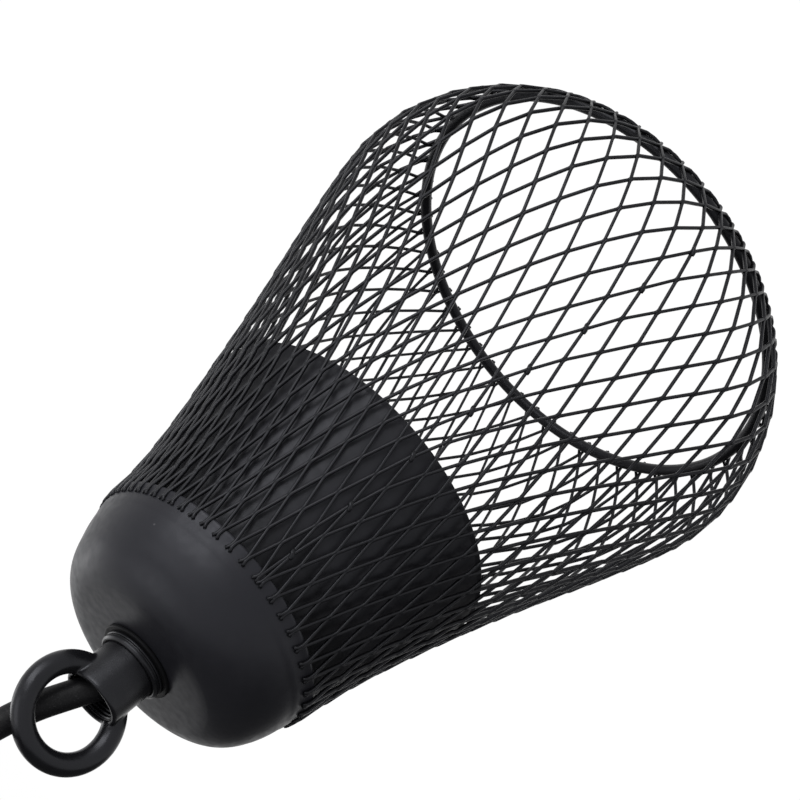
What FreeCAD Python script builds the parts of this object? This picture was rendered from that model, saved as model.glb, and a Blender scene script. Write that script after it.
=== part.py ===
import FreeCAD, Part
import math
import os
import Sketcher

# Caged pendant lamp guard: an expanded metal basket between a spun cap and a
# round wire hoop, with the lampholder, the inner cup and the flex it carries.
# Millimetres. +Z is up. The origin is the inside of the crown of the hanging
# loop, where a hook carries the lamp. The plane of the loop is XZ.

doc = FreeCAD.newDocument("bulb_cage_guard")
sheet = doc.addObject("Spreadsheet::Sheet", "sizes")
sheet.Label = "sizes"

VALUES = [
    # Hanging loop and threaded coupler, one casting
    ("loop_inner_r", 9.5), ("loop_wire", 5.5), ("loop_to_mouth", 8.1),
    ("coupler_thread_wall", 3.1), ("coupler_mouth_step", 1.4),
    ("coupler_mouth_depth", 7.0), ("coupler_len", 12.8), ("coupler_chamfer", 0.5),
    ("thread_clear", 0.05),
    # Collar and washer between the coupler and the cap
    ("collar_wide", 1.45), ("collar_high", 2.4), ("collar_clear", 0.15),
    ("collar_groove", 0.5), ("washer_lap", 1.0), ("washer_high", 1.0),
    # Threaded nipple, inner washer and nut
    ("flex_clear", 0.6), ("nipple_wall", 0.9), ("nipple_reach", 3.0), ("nipple_end", 0.4),
    ("inner_washer_r", 9.0), ("inner_washer_high", 1.2),
    ("nut_flats", 14.0), ("nut_high", 3.0), ("hole_clear", 0.2),
    # Spun cap
    ("cap_wall", 1.0), ("cap_seat_r", 11.5), ("cap_crown_r", 22.0), ("cap_crown_drop", 0.5),
    ("cap_roll_r", 30.6), ("cap_roll_drop", 7.0), ("cap_waist_r", 34.0),
    ("cap_waist_drop", 15.9), ("cap_flare", 1.8), ("cap_rim_drop", 22.5),
    ("cap_roll_bend", 11.5), ("cap_side_bend", 24.0), ("cap_flare_bend", 26.0),
    # Expanded metal basket: stations of its middle surface, each a step below
    # the one before. The first row laps the cap, the throat stands out from
    # the cap's rim, and the belly and the shoulder stand out from the hoop.
    ("strand_thick", 1.2), ("strand_wide", 1.6), ("cap_gap", 0.3),
    ("row_lap", 3.9), ("throat_out", 3.6), ("throat_step", 21.5),
    ("flare_low_r", 45.9), ("flare_low_step", 26.6),
    ("flare_mid_r", 53.8), ("flare_mid_step", 25.7),
    ("flare_high_r", 62.6), ("flare_high_step", 25.9),
    ("belly_out", 10.1), ("belly_step", 30.0), ("shoulder_out", 9.0),
    ("shoulder_step", 13.4), ("mouth_step", 14.7),
    ("cells_round", 36), ("cell_rows", 12), ("knuckle", 0.9),
    ("wrap_start", 25.0), ("wrap_end", 100.0),
    # Hoop at the mouth
    ("hoop_r", 61.1), ("hoop_wire", 3.3), ("hoop_gap", 0.3),
    # Inner cup, set inside the cap and the basket
    ("cup_wall", 0.8), ("cup_cap_gap", 0.6), ("cup_throat_gap", 2.3),
    ("cup_flare_gap", 0.6), ("cup_reach", 5.6), ("cup_corner", 4.0), ("cup_rim_lip", 1.2),
    # Lampholder
    ("dome_high", 13.0), ("dome_top_r", 11.0), ("dome_skirt", 4.0), ("dome_wall", 1.6),
    ("dome_bend", 14.0), ("shell_gap", 1.5), ("sleeve_wall", 1.7), ("sleeve_low", 38.0),
    ("sleeve_up", 7.0),
    ("sleeve_lip", 0.6), ("sleeve_lip_high", 1.0), ("fit_clear", 0.2),
    ("shade_ring_lap", 5.5), ("shade_ring_hub", 2.2),
    ("shade_flange", 1.6), ("shade_ring_high", 5.0), ("block_high", 9.0), ("block_clear", 0.7),
    ("block_hole_r", 4.0), ("shell_r", 13.8), ("shell_wall", 0.5), ("shell_high", 27.0),
    ("shell_crown", 2.8), ("shell_hole_r", 8.5),
    ("contact_r", 3.2), ("contact_high", 1.6), ("stem_r", 1.5),
    ("terminal_r", 1.7), ("terminal_high", 1.6), ("terminal_pitch_r", 9.5),
    # Flex
    ("flex_r", 3.5), ("core_r", 1.1),
    # Ceiling fitting above
    ("rose_r", 32.0), ("rose_high", 24.0), ("rose_wall", 1.5), ("rose_bend", 6.0),
    ("rose_drop", 100.0), ("grip_r", 6.5), ("grip_head_r", 8.5), ("grip_high", 16.0),
    ("grip_head_high", 3.0), ("grip_clear", 0.3), ("strap_gap", 0.3),
    ("strap_wide", 12.0), ("strap_thick", 2.0), ("strap_hole_r", 2.2),
    ("strap_hole_pitch", 40.0), ("grip_nut_high", 3.0),
]
for row, (name, amount) in enumerate(VALUES, start=1):
    sheet.set("A%d" % row, name)
    sheet.set("B%d" % row, str(amount))
    sheet.setAlias("B%d" % row, name)
doc.recompute()

ALIASES = sorted([name for name, amount in VALUES], key=len, reverse=True)


def bind(text):
    """Expression text with each value's name read from the sheet."""
    words = []
    token = ""
    for letter in text + " ":
        if letter.isalnum() or letter == "_":
            token += letter
            continue
        if token:
            words.append("sizes." + token if token in ALIASES else token)
            token = ""
        words.append(letter)
    return "".join(words).strip()


def num(text):
    return float(sheet.evalExpression(bind(text)))


# Radii that follow from the flex and the screw shell outwards
BORE_R = "(flex_r + flex_clear)"
NIPPLE_R = "(flex_r + flex_clear + nipple_wall)"
COUPLER_R = "(%s + coupler_thread_wall)" % NIPPLE_R
COLLAR_R = "(%s + collar_clear + collar_wide)" % COUPLER_R
CAP_RIM_R = "(cap_waist_r + cap_flare)"
SLEEVE_R = "(shell_r + shell_gap + sleeve_wall)"
THROAT_R = "(%s + throat_out)" % CAP_RIM_R
CUP_TOP_R = "(cap_waist_r - cap_wall - cup_cap_gap)"
CUP_THROAT_R = "(%s - cup_throat_gap)" % THROAT_R
CUP_RIM_R = "(flare_low_r - cup_flare_gap)"

# Heights of the seats, counted down from the origin
MOUTH_Z = "(0 - loop_inner_r - loop_to_mouth)"
COUPLER_FOOT_Z = "(%s - coupler_len)" % MOUTH_Z
CAP_TOP_Z = "(%s - washer_high)" % COUPLER_FOOT_Z
CAP_RIM_Z = "(%s - cap_rim_drop)" % CAP_TOP_Z
UNDER_CAP_Z = "(%s - cap_wall)" % CAP_TOP_Z
NUT_TOP_Z = "(%s - inner_washer_high)" % UNDER_CAP_Z
DOME_TOP_Z = "(%s - nut_high)" % NUT_TOP_Z
DOME_FOOT_Z = "(%s - dome_high)" % DOME_TOP_Z
CUP_TOP_Z = DOME_FOOT_Z
SLEEVE_FOOT_Z = "(%s - sleeve_low)" % DOME_FOOT_Z
BLOCK_TOP_Z = "(%s - dome_wall * 2 - terminal_high - block_clear)" % DOME_TOP_Z
BLOCK_FOOT_Z = "(%s - block_high)" % BLOCK_TOP_Z
ROW_TOP_Z = "(%s + row_lap)" % CAP_RIM_Z
THROAT_Z = "(%s - throat_step)" % ROW_TOP_Z
FLARE_LOW_Z = "(%s - flare_low_step)" % THROAT_Z
FLARE_MID_Z = "(%s - flare_mid_step)" % FLARE_LOW_Z
FLARE_HIGH_Z = "(%s - flare_high_step)" % FLARE_MID_Z
BELLY_Z = "(%s - belly_step)" % FLARE_HIGH_Z
SHOULDER_Z = "(%s - shoulder_step)" % BELLY_Z
HOOP_Z = "(%s - mouth_step)" % SHOULDER_Z
CUP_RIM_Z = "(%s - cup_reach)" % FLARE_LOW_Z
ROSE_FOOT_Z = "rose_drop"
CEILING_Z = "(rose_drop + rose_high)"


def origin_plane(body, role):
    return [f for f in body.Origin.OriginFeatures if f.Role == role][0]


def arc_centre(a, b, radius, side):
    dx = b[0] - a[0]
    dy = b[1] - a[1]
    chord = math.hypot(dx, dy)
    rise = math.sqrt(max(radius * radius - chord * chord / 4.0, 0.0))
    mid = ((a[0] + b[0]) / 2.0, (a[1] + b[1]) / 2.0)
    return (mid[0] - side * rise * dy / chord, mid[1] + side * rise * dx / chord)


def section_sketch(body, name, corners):
    """Closed section in XZ. A corner is (radius, height) or
    (radius, height, bend, side), and its bend rounds the run to the next."""
    sketch = body.newObject("Sketcher::SketchObject", name)
    sketch.AttachmentSupport = [(origin_plane(body, "XZ_Plane"), "")]
    sketch.MapMode = "FlatFace"
    points = [(num(c[0]), num(c[1])) for c in corners]
    ends = []
    for i, corner in enumerate(corners):
        a = points[i]
        b = points[(i + 1) % len(points)]
        if len(corner) == 2:
            line = Part.LineSegment(FreeCAD.Vector(a[0], a[1], 0), FreeCAD.Vector(b[0], b[1], 0))
            sketch.addGeometry(line, False)
            ends.append((1, 2))
            continue
        radius = num(corner[2])
        side = corner[3]
        cx, cy = arc_centre(a, b, radius, side)
        circle = Part.Circle(FreeCAD.Vector(cx, cy, 0), FreeCAD.Vector(0, 0, 1), radius)
        turn_a = math.atan2(a[1] - cy, a[0] - cx)
        turn_b = math.atan2(b[1] - cy, b[0] - cx)
        if side > 0:
            sketch.addGeometry(Part.ArcOfCircle(circle, turn_a, turn_b), False)
            ends.append((1, 2))
        else:
            sketch.addGeometry(Part.ArcOfCircle(circle, turn_b, turn_a), False)
            ends.append((2, 1))
    count = len(corners)
    for i in range(count):
        j = (i + 1) % count
        sketch.addConstraint(Sketcher.Constraint("Coincident", i, ends[i][1], j, ends[j][0]))
    for i, corner in enumerate(corners):
        x, y = points[i]
        n = sketch.addConstraint(Sketcher.Constraint("DistanceX", -1, 1, i, ends[i][0], x))
        sketch.setExpression("Constraints[%d]" % n, bind(corner[0]))
        n = sketch.addConstraint(Sketcher.Constraint("DistanceY", -1, 1, i, ends[i][0], y))
        sketch.setExpression("Constraints[%d]" % n, bind(corner[1]))
        if len(corner) == 4:
            n = sketch.addConstraint(Sketcher.Constraint("Radius", i, num(corner[2])))
            sketch.setExpression("Constraints[%d]" % n, bind(corner[2]))
    return sketch


def turned(label, seat, corners):
    """Body of revolution about Z, its own zero height at the seat."""
    body = doc.addObject("PartDesign::Body", label)
    body.Label = label
    sketch = section_sketch(body, label + "_section", corners)
    turn = body.newObject("PartDesign::Revolution", label + "_turn")
    turn.Profile = sketch
    turn.ReferenceAxis = (sketch, ["V_Axis"])
    turn.Angle = 360.0
    body.Tip = turn
    body.setExpression("Placement.Base.z", bind(seat))
    return body


def bound(kind, name, **sizes):
    thing = doc.addObject(kind, name)
    for prop, text in sizes.items():
        thing.setExpression(prop, bind(text))
    return thing


def seat_at(thing, x="0", y="0", z="0"):
    thing.setExpression("Placement.Base.x", bind(x))
    thing.setExpression("Placement.Base.y", bind(y))
    thing.setExpression("Placement.Base.z", bind(z))
    return thing


def fuse(name, things):
    joined = doc.addObject("Part::MultiFuse", name)
    joined.Shapes = things
    return joined


def cut(name, base, tool):
    result = doc.addObject("Part::Cut", name)
    result.Base = base
    result.Tool = tool
    return result


nodes = []


def keep(thing, label):
    thing.Label = label
    nodes.append(thing)
    return thing


# Hanging loop and coupler: a round wire ring that runs into the two sides of
# a short tube at its mouth, with the flex hole left open between them.
ring = bound("Part::Torus", "loop_ring", Radius1="loop_inner_r + loop_wire / 2", Radius2="loop_wire / 2")
ring.Placement = FreeCAD.Placement(
    FreeCAD.Vector(0, 0, -num("loop_inner_r")),
    FreeCAD.Rotation(FreeCAD.Vector(1, 0, 0), 90),
)
ring.setExpression("Placement.Base.z", bind("0 - loop_inner_r"))
tube = bound("Part::Cylinder", "coupler_tube", Radius=COUPLER_R, Height="coupler_len")
seat_at(tube, z=COUPLER_FOOT_Z)
mouth = bound("Part::Cylinder", "coupler_mouth", Radius="%s + coupler_mouth_step" % NIPPLE_R,
              Height="coupler_mouth_depth")
seat_at(mouth, z="%s - coupler_mouth_depth" % MOUTH_Z)
mouth_bevel = bound("Part::Cone", "coupler_mouth_bevel", Radius1="%s + coupler_mouth_step" % NIPPLE_R,
                    Radius2="%s + coupler_mouth_step + coupler_chamfer" % NIPPLE_R, Height="coupler_chamfer")
seat_at(mouth_bevel, z="%s - coupler_chamfer" % MOUTH_Z)
thread = bound("Part::Cylinder", "coupler_thread", Radius=NIPPLE_R + " + thread_clear",
               Height="coupler_len")
seat_at(thread, z=COUPLER_FOOT_Z)
loop = cut("loop_coupler_cut", fuse("loop_blank", [ring, tube]),
           fuse("loop_bores", [mouth, mouth_bevel, thread]))
keep(loop, "loop_coupler")

collar = turned("lock_collar", COUPLER_FOOT_Z, [
    (COUPLER_R + " + collar_clear", "0"),
    (COLLAR_R, "0"),
    (COLLAR_R, "collar_high * 0.4"),
    (COLLAR_R + " - collar_groove", "collar_high * 0.45"),
    (COLLAR_R + " - collar_groove", "collar_high * 0.6"),
    (COLLAR_R + " - collar_groove * 0.3", "collar_high * 0.65"),
    (COLLAR_R + " - collar_groove * 0.3", "collar_high * 0.85"),
    (COLLAR_R + " - collar_high * 0.2", "collar_high"),
    (COUPLER_R + " + collar_clear", "collar_high"),
])
keep(collar, "lock_collar")

washer = turned("cap_washer", CAP_TOP_Z, [
    (NIPPLE_R + " + hole_clear", "0"),
    (COLLAR_R + " + washer_lap", "0"),
    (COLLAR_R + " + washer_lap", "washer_high"),
    (NIPPLE_R + " + hole_clear", "washer_high"),
])
keep(washer, "cap_washer")

NIPPLE_FOOT_Z = "(%s - nipple_reach)" % DOME_TOP_Z
NIPPLE_LEN = "(%s - coupler_mouth_depth - %s)" % (MOUTH_Z, NIPPLE_FOOT_Z)
nipple = turned("threaded_nipple", NIPPLE_FOOT_Z, [
    (BORE_R, "0"),
    (NIPPLE_R + " - nipple_end", "0"),
    (NIPPLE_R, "nipple_end"),
    (NIPPLE_R, NIPPLE_LEN + " - nipple_end"),
    (NIPPLE_R + " - nipple_end", NIPPLE_LEN),
    (BORE_R, NIPPLE_LEN),
])
keep(nipple, "threaded_nipple")

# Spun cap: nearly flat crown, a rolled edge, a bowl side that draws in to a
# faint waist and flares again at the rim. The wall is even.
cap = turned("spun_cap", CAP_TOP_Z, [
    (NIPPLE_R + " + hole_clear", "0"),
    ("cap_seat_r", "0"),
    ("cap_crown_r", "0 - cap_crown_drop", "cap_roll_bend", -1),
    ("cap_roll_r", "0 - cap_roll_drop", "cap_side_bend", -1),
    ("cap_waist_r", "0 - cap_waist_drop", "cap_flare_bend", 1),
    (CAP_RIM_R, "0 - cap_rim_drop"),
    (CAP_RIM_R + " - cap_wall", "0 - cap_rim_drop", "cap_flare_bend + cap_wall", -1),
    ("cap_waist_r - cap_wall", "0 - cap_waist_drop", "cap_side_bend - cap_wall", 1),
    ("cap_roll_r - cap_wall * 0.86", "0 - cap_roll_drop - cap_wall * 0.5", "cap_roll_bend - cap_wall", 1),
    ("cap_crown_r - cap_wall * 0.2", "0 - cap_crown_drop - cap_wall"),
    ("cap_seat_r", "0 - cap_wall"),
    (NIPPLE_R + " + hole_clear", "0 - cap_wall"),
])
keep(cap, "spun_cap")

inner_washer = turned("inner_washer", NUT_TOP_Z, [
    (NIPPLE_R + " + hole_clear", "0"),
    ("inner_washer_r", "0"),
    ("inner_washer_r", "inner_washer_high"),
    (NIPPLE_R + " + hole_clear", "inner_washer_high"),
])
keep(inner_washer, "inner_washer")


def hex_nut(name, seat, flats, high, bore):
    """Six-sided nut with its corners turned back."""
    blank = bound("Part::Prism", name + "_blank", Circumradius="%s / 2 / cos(30 deg)" % flats, Height=high)
    blank.Polygon = 6
    seat_at(blank, z=seat)
    turned_back = bound("Part::Cone", name + "_corners", Radius1="%s / 2 / cos(30 deg) + %s" % (flats, high),
                        Radius2="%s / 2 * 1.02" % flats, Height=high)
    seat_at(turned_back, z=seat)
    common = doc.addObject("Part::MultiCommon", name + "_body")
    common.Shapes = [blank, turned_back]
    hole = bound("Part::Cylinder", name + "_hole", Radius=bore, Height=high)
    seat_at(hole, z=seat)
    return cut(name + "_cut", common, hole)


nut = hex_nut("inner_nut", DOME_TOP_Z, "nut_flats", "nut_high", NIPPLE_R + " + thread_clear")
keep(nut, "inner_lock_nut")

# Inner cup: opaque cone that hides the lampholder, held on the holder's sleeve
CUP_THROAT_DROP = "(%s - %s)" % (CUP_TOP_Z, THROAT_Z)
CUP_HIGH = "(%s - %s)" % (CUP_TOP_Z, CUP_RIM_Z)
cup = turned("inner_cup", CUP_TOP_Z, [
    (SLEEVE_R + " + fit_clear", "0"),
    (CUP_TOP_R + " - cup_corner", "0", "cup_corner", -1),
    (CUP_TOP_R, "0 - cup_corner"),
    (CUP_THROAT_R, "0 - " + CUP_THROAT_DROP),
    (CUP_RIM_R + " - cup_rim_lip * 0.5", "cup_rim_lip - " + CUP_HIGH),
    (CUP_RIM_R, "0 - " + CUP_HIGH),
    (CUP_RIM_R + " - cup_wall", "0 - " + CUP_HIGH),
    (CUP_RIM_R + " - cup_rim_lip * 0.5 - cup_wall", "cup_rim_lip - " + CUP_HIGH),
    (CUP_THROAT_R + " - cup_wall", "0 - " + CUP_THROAT_DROP),
    (CUP_TOP_R + " - cup_wall", "0 - cup_corner", "cup_corner - cup_wall", 1),
    (CUP_TOP_R + " - cup_corner", "0 - cup_wall"),
    (SLEEVE_R + " + fit_clear", "0 - cup_wall"),
])
keep(cup, "inner_cup")

# Lampholder
dome = turned("holder_dome", DOME_FOOT_Z, [
    (NIPPLE_R + " + thread_clear", "dome_high"),
    (NIPPLE_R + " + thread_clear", "dome_high - dome_wall * 2"),
    ("dome_top_r - dome_wall", "dome_high - dome_wall * 2", "dome_bend - dome_wall", -1),
    (SLEEVE_R + " + fit_clear", "sleeve_up"),
    (SLEEVE_R + " + fit_clear", "0"),
    (SLEEVE_R + " + dome_skirt", "0"),
    (SLEEVE_R + " + dome_skirt", "dome_wall", "dome_bend", 1),
    ("dome_top_r", "dome_high"),
])
keep(dome, "holder_dome")

sleeve = turned("holder_sleeve", DOME_FOOT_Z, [
    (SLEEVE_R + " - sleeve_wall", "sleeve_up - fit_clear"),
    (SLEEVE_R + " - sleeve_wall", "sleeve_lip_high - sleeve_low"),
    (SLEEVE_R + " - sleeve_wall - sleeve_lip", "sleeve_lip_high - sleeve_low"),
    (SLEEVE_R + " - sleeve_wall - sleeve_lip", "0 - sleeve_low"),
    (SLEEVE_R + " - sleeve_lip", "0 - sleeve_low"),
    (SLEEVE_R, "sleeve_lip - sleeve_low"),
    (SLEEVE_R, "sleeve_up - fit_clear"),
])
keep(sleeve, "holder_sleeve")

shade_ring = turned("shade_ring", "%s - cup_wall" % CUP_TOP_Z, [
    (SLEEVE_R + " + fit_clear", "0"),
    (SLEEVE_R + " + fit_clear", "0 - shade_ring_high"),
    (SLEEVE_R + " + shade_ring_hub", "0 - shade_ring_high"),
    (SLEEVE_R + " + shade_ring_hub", "0 - shade_flange"),
    (SLEEVE_R + " + shade_ring_lap", "0 - shade_flange"),
    (SLEEVE_R + " + shade_ring_lap", "0"),
])
keep(shade_ring, "shade_ring")

block = turned("contact_block", BLOCK_FOOT_Z, [
    ("block_hole_r", "block_high"),
    ("block_hole_r", "block_high * 0.4"),
    ("stem_r + 0.05", "block_high * 0.4"),
    ("stem_r + 0.05", "0"),
    (SLEEVE_R + " - sleeve_wall - fit_clear", "0"),
    (SLEEVE_R + " - sleeve_wall - fit_clear", "block_high"),
])
keep(block, "contact_block")

shell = turned("screw_shell", "%s - shell_high" % BLOCK_FOOT_Z, [
    ("shell_r - shell_wall", "0"),
    ("shell_r", "0"),
    ("shell_r", "shell_high - shell_crown"),
    ("shell_r - shell_crown", "shell_high"),
    ("shell_hole_r", "shell_high"),
    ("shell_hole_r", "shell_high - shell_wall"),
    ("shell_r - shell_crown - shell_wall * 0.414", "shell_high - shell_wall"),
    ("shell_r - shell_wall", "shell_high - shell_crown - shell_wall * 0.414"),
])
keep(shell, "screw_shell")

contact = turned("centre_contact", BLOCK_FOOT_Z, [
    ("0", "block_high * 0.4"),
    ("0", "0 - contact_high"),
    ("contact_r * 0.55", "0 - contact_high"),
    ("contact_r", "0 - contact_high * 0.5"),
    ("contact_r", "0"),
    ("stem_r", "0"),
    ("stem_r", "block_high * 0.4"),
])
keep(contact, "centre_contact")

# Terminal screws: three cheese heads on the block, one for each core
screws = []
for index in range(3):
    head = bound("Part::Cylinder", "terminal_%d" % (index + 1), Radius="terminal_r", Height="terminal_high")
    turn = "%d deg" % (90 + 120 * index)
    seat_at(head, x="terminal_pitch_r * cos(%s)" % turn, y="terminal_pitch_r * sin(%s)" % turn, z=BLOCK_TOP_Z)
    screws.append(head)
screw_group = doc.addObject("Part::Compound", "terminal_screws_group")
screw_group.Links = screws
keep(screw_group, "terminal_screws")

# Hoop at the mouth: round wire, closed by a butt weld
hoop = bound("Part::Torus", "mouth_hoop_ring", Radius1="hoop_r", Radius2="hoop_wire / 2")
seat_at(hoop, z=HOOP_Z)
keep(hoop, "mouth_hoop")


# Expanded metal basket
def round_hoop(turn, lift):
    """Place on the sheet where it wraps the hoop: degrees down from the outside."""
    reach = num("hoop_wire / 2 + hoop_gap + strand_thick / 2") + lift
    turn = math.radians(turn)
    return (num("hoop_r") + reach * math.cos(turn), num(HOOP_Z) - reach * math.sin(turn))


def basket_curve():
    """Middle line of the sheet in the XZ plane, from the cap to the hoop."""
    start_r = num("cap_waist_r + cap_flare * 0.62 + cap_gap + strand_thick / 2")
    stations = [
        (start_r, num(ROW_TOP_Z)), (num(THROAT_R), num(THROAT_Z)),
        (num("flare_low_r"), num(FLARE_LOW_Z)), (num("flare_mid_r"), num(FLARE_MID_Z)),
        (num("flare_high_r"), num(FLARE_HIGH_Z)), (num("hoop_r + belly_out"), num(BELLY_Z)),
        (num("hoop_r + shoulder_out"), num(SHOULDER_Z)), round_hoop(num("wrap_start"), 0.0),
    ]
    curve = Part.BSplineCurve()
    curve.interpolate([FreeCAD.Vector(r, 0, z) for r, z in stations])
    return curve.toShape()


def basket():
    """One sheet of diamonds. Each crossing has four corners, one to each
    neighbouring opening, and each strand joins two crossings. The tips of
    the last row wrap the hoop from outside and end under it."""
    columns = int(num("cells_round"))
    rows = int(num("cell_rows"))
    half = num("strand_thick / 2")
    wide = num("strand_wide")
    line = basket_curve()
    steps = 8  # spans of the profile to each row
    marks = line.discretize(Number=rows * steps + 1)
    pitch = 2.0 * math.pi / columns
    run = line.Length / rows

    def surface(angle, distance, lift):
        place = min(max(distance / run * steps, 0.0), float(rows * steps))
        low = min(int(place), rows * steps - 1)
        part = place - low
        a = marks[low]
        b = marks[low + 1]
        slope = b.sub(a)
        slope.normalize()
        point = a.add(b.sub(a).multiply(part))
        radius = point.x - slope.z * lift
        height = point.z + slope.x * lift
        return FreeCAD.Vector(radius * math.cos(angle), radius * math.sin(angle), height)

    def crossing(i, j, corner, lift):
        """Corner N, S, E or W of crossing j in row i, on the outer or inner face."""
        base = marks[i * steps].x
        cell_x = pitch * base
        lean = math.atan2(run, cell_x / 2.0)
        along = wide / 2.0 / math.cos(lean)
        across = wide / 2.0 / math.sin(lean) + num("knuckle") * 0.35
        angle = (j + (i % 2) / 2.0) * pitch
        distance = i * run
        if corner == "N":
            distance -= along
        if corner == "S":
            distance += along
        if corner == "E":
            angle += across / base
        if corner == "W":
            angle -= across / base
        distance = min(max(distance, 0.0), rows * run)
        return surface(angle, distance, lift)

    def corners(i, j, lift):
        return {c: crossing(i, j, c, lift) for c in "NSEW"}

    outer = {}
    inner = {}
    for i in range(rows + 1):
        for j in range(columns):
            outer[(i, j)] = corners(i, j, half)
            inner[(i, j)] = corners(i, j, -half)

    def east(i, j):
        """Crossing of the next row, half a cell to the east."""
        return (i + 1, (j + (i % 2)) % columns)

    def west(i, j):
        return (i + 1, (j + (i % 2) - 1) % columns)

    tris = []

    def quad(a, b, c, d):
        tris.append((a, b, c))
        tris.append((a, c, d))

    def tongue(i, j):
        """Tip of the sheet round the hoop, from the last crossing to its end."""
        start = num("wrap_start")
        end = num("wrap_end")
        wide = num("strand_wide")
        rings = [[outer[(i, j)]["W"], outer[(i, j)]["E"], inner[(i, j)]["E"], inner[(i, j)]["W"]]]
        for share, half_wide in ((0.5, wide * 0.75), (1.0, wide * 0.5)):
            ring = []
            for side, lift in ((-1, half), (1, half), (1, -half), (-1, -half)):
                radius, height = round_hoop(start + (end - start) * share, lift)
                angle = (j + (i % 2) / 2.0) * pitch + side * half_wide / radius
                ring.append(FreeCAD.Vector(radius * math.cos(angle), radius * math.sin(angle), height))
            rings.append(ring)
        for a, b in zip(rings[:-1], rings[1:]):
            for k in range(4):
                m = (k + 1) % 4
                quad(a[k], b[k], b[m], a[m])
        quad(*rings[-1])

    def wall(top, key_a, corner_a, key_b, corner_b):
        quad(top[key_a][corner_a], top[key_b][corner_b], inner[key_b][corner_b], inner[key_a][corner_a])

    for i in range(rows + 1):
        for j in range(columns):
            here = (i, j)
            o = outer[here]
            n = inner[here]
            if 0 < i < rows:
                quad(o["N"], o["W"], o["S"], o["E"])
                quad(n["N"], n["E"], n["S"], n["W"])
            if i == 0:
                tris.append((o["W"], o["S"], o["E"]))
                tris.append((n["E"], n["S"], n["W"]))
                quad(o["E"], n["E"], n["W"], o["W"])
            if i == rows:
                tris.append((o["N"], o["W"], o["E"]))
                tris.append((n["N"], n["E"], n["W"]))
                tongue(i, j)
            if i == rows:
                continue
            right = east(i, j)
            left = west(i, j)
            quad(o["S"], outer[right]["W"], outer[right]["N"], o["E"])
            quad(n["S"], n["E"], inner[right]["N"], inner[right]["W"])
            quad(o["S"], o["W"], outer[left]["N"], outer[left]["E"])
            quad(n["S"], inner[left]["E"], inner[left]["N"], n["W"])
            wall(outer, right, "W", here, "S")
            wall(outer, here, "S", left, "E")
            wall(outer, here, "E", right, "N")
            wall(outer, left, "N", here, "W")
    faces = []
    for a, b, c in tris:
        faces.append(Part.Face(Part.makePolygon([a, b, c, a])))
    shell = Part.makeShell(faces)
    shell.sewShape()
    if shell.ShapeType != "Shell":
        shell = shell.Shells[0]
    solid = Part.makeSolid(shell)
    if solid.Volume < 0:
        solid.reverse()
    return solid


mesh = doc.addObject("Part::Feature", "mesh_basket")
mesh.Shape = basket()
keep(mesh, "mesh_cage")


# Flex: straight runs joined by tangent arcs
def route_wire(points, report):
    """Wire through the route, each arc as large as its two runs allow."""
    pts = [FreeCAD.Vector(*p) for p in points]
    edges = []
    last = pts[0]
    radii = []
    for i in range(1, len(pts) - 1):
        back = pts[i - 1].sub(pts[i])
        ahead = pts[i + 1].sub(pts[i])
        short = min(back.Length, ahead.Length)
        back.normalize()
        ahead.normalize()
        turn = math.pi - back.getAngle(ahead)
        tangent = 0.45 * short
        radii.append(tangent / math.tan(turn / 2.0))
        a = pts[i].add(FreeCAD.Vector(back).multiply(tangent))
        b = pts[i].add(FreeCAD.Vector(ahead).multiply(tangent))
        bis = back.add(ahead)
        bis.normalize()
        reach = math.hypot(tangent, radii[-1])
        middle = pts[i].add(bis.multiply(reach - radii[-1]))
        edges.append(Part.LineSegment(last, a).toShape())
        edges.append(Part.Arc(a, middle, b).toShape())
        last = b
    edges.append(Part.LineSegment(last, pts[-1]).toShape())
    if report:
        print("radii of", report, [round(r, 1) for r in radii])
    return Part.Wire(edges)


def tube_along(points, radius, report):
    wire = route_wire(points, report)
    start = wire.Edges[0]
    first = start.valueAt(start.FirstParameter)
    heading = start.tangentAt(start.FirstParameter)
    ring_wire = Part.Wire([Part.makeCircle(radius, first, heading)])
    solid = wire.makePipeShell([ring_wire], True, False)
    if solid.Volume < 0:
        solid.reverse()
    ideal = math.pi * radius * radius * wire.Length
    if report:
        print(report, "length", round(wire.Length, 1), "volume ratio", round(solid.Volume / ideal, 4))
    return solid


FLEX_ROUTE = [
    (0.0, 0.0, -39.8), (0.1, 0.0, -29.0), (1.0, 0.4, -20.8), (4.5, 3.2, -12.0),
    (7.6, 6.7, -2.5), (9.4, 8.8, 8.0), (10.0, 9.6, 20.0), (9.6, 9.2, 34.0),
    (8.2, 7.8, 49.0), (5.6, 5.3, 64.0), (2.8, 2.6, 79.0), (0.8, 0.7, 93.0),
    (0.0, 0.0, 106.0), (0.05, 0.0, 116.5),
]
flex = doc.addObject("Part::Feature", "flex_tube")
flex.Shape = tube_along(FLEX_ROUTE, num("flex_r"), "flex")
keep(flex, "flex")

cores = []
for index in range(3):
    turn = math.radians(90 + 120 * index)
    near = num("core_r") * 1.25
    far = num("terminal_pitch_r - terminal_r - core_r - 0.3")
    low = num(BLOCK_TOP_Z) + num("core_r") + 0.3
    path = [
        (near * math.cos(turn), near * math.sin(turn), FLEX_ROUTE[0][2] - 0.05),
        (near * math.cos(turn), near * math.sin(turn), low + 0.6),
        (far * math.cos(turn), far * math.sin(turn), low),
    ]
    cores.append(tube_along(path, num("core_r"), None))
core_group = doc.addObject("Part::Feature", "core_tubes")
core_group.Shape = Part.makeCompound(cores)
keep(core_group, "flex_cores")

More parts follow.
